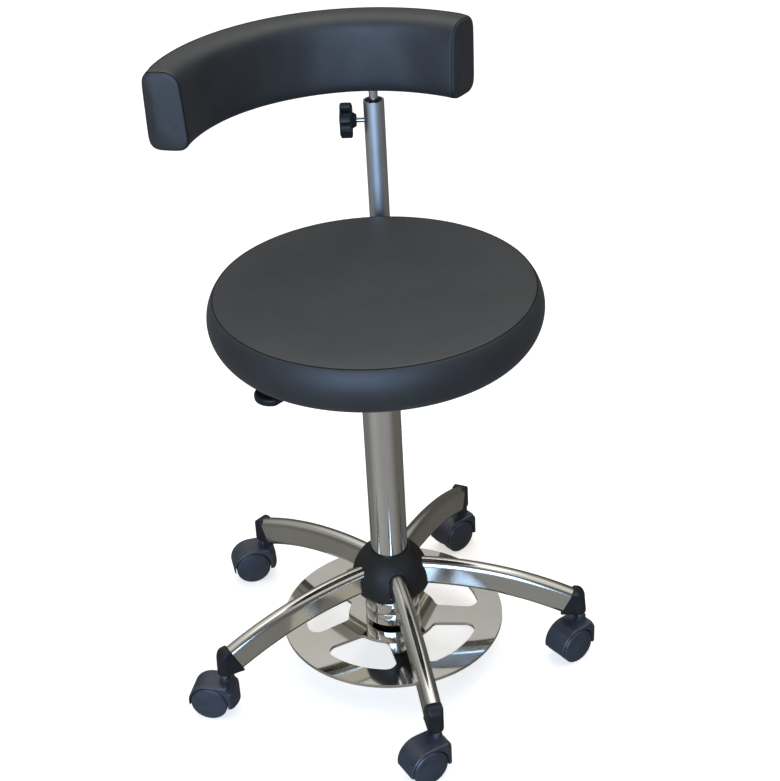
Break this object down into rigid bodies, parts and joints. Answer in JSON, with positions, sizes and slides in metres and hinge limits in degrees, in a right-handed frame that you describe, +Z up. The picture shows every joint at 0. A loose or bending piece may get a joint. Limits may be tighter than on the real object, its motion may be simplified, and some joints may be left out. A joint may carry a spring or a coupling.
{
  "type": "medical stool",
  "caption": "Height-adjustable medical stool with a round padded seat, curved swing back pad, foot-ring release and castor base.",
  "frame": {"origin": "On the floor, on the axis of the column.", "axes": "+Z up along the column, +Y from the column towards the back post, +X to the right seen from the front."},
  "size_m": [0.5522, 0.5629, 0.8395],
  "materials": {
    "chrome": "polished",
    "bright_steel": "satin",
    "zinc_steel": "satin",
    "black_paint": "satin",
    "black_plastic": "semi-gloss",
    "castor_plastic": "matte",
    "soft_cover": "matte",
    "vinyl": "satin",
    "plywood": "stained black"
  },
  "bodies": {
    "base": {"base_arm_1": "chrome", "base_arm_2": "chrome", "base_arm_3": "chrome", "base_arm_4": "chrome", "base_arm_5": "chrome", "arm_cap_1": "black_plastic", "arm_cap_2": "black_plastic", "arm_cap_3": "black_plastic", "arm_cap_4": "black_plastic", "arm_cap_5": "black_plastic", "castor_stems": "bright_steel", "base_hub": "zinc_steel", "hub_boot": "soft_cover", "stand_tube": "chrome", "guide_bush": "black_plastic", "pedal_housing": "chrome", "pedal_retainer": "chrome"},
    "gas_rod": {"piston_rod": "bright_steel"},
    "seat": {"pressure_tube": "black_paint", "seat_hub": "zinc_steel", "seat_board": "plywood", "seat_screws": "zinc_steel", "seat_cushion": "vinyl", "collar_clip": "bright_steel"},
    "pin": {"release_pin": "bright_steel"},
    "rest": {"swing_bracket": "black_paint", "post_tube": "chrome", "post_bush": "black_plastic"},
    "lever": {"lever_arm": "bright_steel", "lever_grip": "black_plastic"},
    "pad_slide": {"pad_rod": "chrome"},
    "back_rest": {"back_pad": "vinyl", "pad_core": "plywood", "pad_socket": "zinc_steel"},
    "knob": {"clamp_knob": "black_plastic", "knob_stud": "bright_steel"},
    "foot_turn": {"fulcrum_washer": "black_plastic"},
    "foot_pedal": {"foot_spindle": "bright_steel", "foot_ring": "chrome", "foot_nut": "zinc_steel"},
    "castor_1": {"castor_hood_1": "castor_plastic", "castor_axle_1": "bright_steel"},
    "wheel_1_left": {"castor_wheel_1_left": "castor_plastic"},
    "wheel_1_right": {"castor_wheel_1_right": "castor_plastic"},
    "castor_2": {"castor_hood_2": "castor_plastic", "castor_axle_2": "bright_steel"},
    "wheel_2_left": {"castor_wheel_2_left": "castor_plastic"},
    "wheel_2_right": {"castor_wheel_2_right": "castor_plastic"},
    "castor_3": {"castor_hood_3": "castor_plastic", "castor_axle_3": "bright_steel"},
    "wheel_3_left": {"castor_wheel_3_left": "castor_plastic"},
    "wheel_3_right": {"castor_wheel_3_right": "castor_plastic"},
    "castor_4": {"castor_hood_4": "castor_plastic", "castor_axle_4": "bright_steel"},
    "wheel_4_left": {"castor_wheel_4_left": "castor_plastic"},
    "wheel_4_right": {"castor_wheel_4_right": "castor_plastic"},
    "castor_5": {"castor_hood_5": "castor_plastic", "castor_axle_5": "bright_steel"},
    "wheel_5_left": {"castor_wheel_5_left": "castor_plastic"},
    "wheel_5_right": {"castor_wheel_5_right": "castor_plastic"}
  },
  "joints": [
    {"name": "seat_swivel", "type": "hinge", "parent": "base", "child": "gas_rod", "pos_m": [0, 0, 0.2], "axis": [0, 0, 1], "continuous": true},
    {"name": "seat_lift", "type": "slide", "parent": "gas_rod", "child": "seat", "axis": [0, 0, 1], "range_m": [0, 0.195]},
    {"name": "pin_lift", "type": "slide", "parent": "gas_rod", "child": "pin", "axis": [0, 0, 1], "range_m": [0, 0.0021]},
    {"name": "rest_swing", "type": "hinge", "parent": "seat", "child": "rest", "pos_m": [0, 0, 0.47], "axis": [0, 0, 1], "continuous": true},
    {"name": "lever_throw", "type": "hinge", "parent": "rest", "child": "lever", "pos_m": [-0.03524, -0.02957, 0.4803], "axis": [0, 0, 1], "range_deg": [0, 20]},
    {"name": "pad_height", "type": "slide", "parent": "rest", "child": "pad_slide", "axis": [0, 0, 1], "range_m": [-0.012, 0.1]},
    {"name": "pad_swivel", "type": "hinge", "parent": "pad_slide", "child": "back_rest", "pos_m": [0, 0.242, 0.75], "axis": [0, 0, 1], "continuous": true},
    {"name": "knob_turn", "type": "hinge", "parent": "rest", "child": "knob", "pos_m": [0, 0.242, 0.691], "axis": [-1, 0, 0], "range_deg": [-540, 0]},
    {"name": "foot_swivel", "type": "hinge", "parent": "base", "child": "foot_turn", "pos_m": [0, 0, 0.0655], "axis": [0, 0, 1], "continuous": true},
    {"name": "foot_tilt", "type": "hinge", "parent": "foot_turn", "child": "foot_pedal", "pos_m": [0, -0.024, 0.0665], "axis": [1, 0, 0], "range_deg": [0, 4.5], "stiffness_Nm_per_rad": 40},
    {"name": "castor_swivel_1", "type": "hinge", "parent": "base", "child": "castor_1", "pos_m": [0.25909, -0.02176, 0.05], "axis": [0, 0, 1], "continuous": true},
    {"name": "wheel_roll_1_left", "type": "hinge", "parent": "castor_1", "child": "wheel_1_left", "pos_m": [0.24355, -0.03434, 0.025], "axis": [0.6293, -0.7771, 0], "continuous": true},
    {"name": "wheel_roll_1_right", "type": "hinge", "parent": "castor_1", "child": "wheel_1_right", "pos_m": [0.24355, -0.03434, 0.025], "axis": [0.6293, -0.7771, 0], "continuous": true},
    {"name": "castor_swivel_2", "type": "hinge", "parent": "base", "child": "castor_2", "pos_m": [0.05937, -0.25313, 0.05], "axis": [0, 0, 1], "continuous": true},
    {"name": "wheel_roll_2_left", "type": "hinge", "parent": "castor_2", "child": "wheel_2_left", "pos_m": [0.04241, -0.26373, 0.025], "axis": [0.5299, -0.848, 0], "continuous": true},
    {"name": "wheel_roll_2_right", "type": "hinge", "parent": "castor_2", "child": "wheel_2_right", "pos_m": [0.04241, -0.26373, 0.025], "axis": [0.5299, -0.848, 0], "continuous": true},
    {"name": "castor_swivel_3", "type": "hinge", "parent": "base", "child": "castor_3", "pos_m": [-0.2224, -0.13469, 0.05], "axis": [0, 0, 1], "continuous": true},
    {"name": "wheel_roll_3_left", "type": "hinge", "parent": "castor_3", "child": "wheel_3_left", "pos_m": [-0.24209, -0.13121, 0.025], "axis": [-0.1736, -0.9848, 0], "continuous": true},
    {"name": "wheel_roll_3_right", "type": "hinge", "parent": "castor_3", "child": "wheel_3_right", "pos_m": [-0.24209, -0.13121, 0.025], "axis": [-0.1736, -0.9848, 0], "continuous": true},
    {"name": "castor_swivel_4", "type": "hinge", "parent": "base", "child": "castor_4", "pos_m": [-0.19682, 0.16989, 0.05], "axis": [0, 0, 1], "continuous": true},
    {"name": "wheel_roll_4_left", "type": "hinge", "parent": "castor_4", "child": "wheel_4_left", "pos_m": [-0.21614, 0.16471, 0.025], "axis": [0.2588, -0.9659, 0], "continuous": true},
    {"name": "wheel_roll_4_right", "type": "hinge", "parent": "castor_4", "child": "wheel_4_right", "pos_m": [-0.21614, 0.16471, 0.025], "axis": [0.2588, -0.9659, 0], "continuous": true},
    {"name": "castor_swivel_5", "type": "hinge", "parent": "base", "child": "castor_5", "pos_m": [0.10075, 0.23968, 0.05], "axis": [0, 0, 1], "continuous": true},
    {"name": "wheel_roll_5_left", "type": "hinge", "parent": "castor_5", "child": "wheel_5_left", "pos_m": [0.08566, 0.22656, 0.025], "axis": [0.6561, -0.7547, 0], "continuous": true},
    {"name": "wheel_roll_5_right", "type": "hinge", "parent": "castor_5", "child": "wheel_5_right", "pos_m": [0.08566, 0.22656, 0.025], "axis": [0.6561, -0.7547, 0], "continuous": true}
  ],
  "couplings": [
    {"joint": "pin_lift", "follows": "foot_tilt", "m_per_rad": 0.0255}
  ]
}
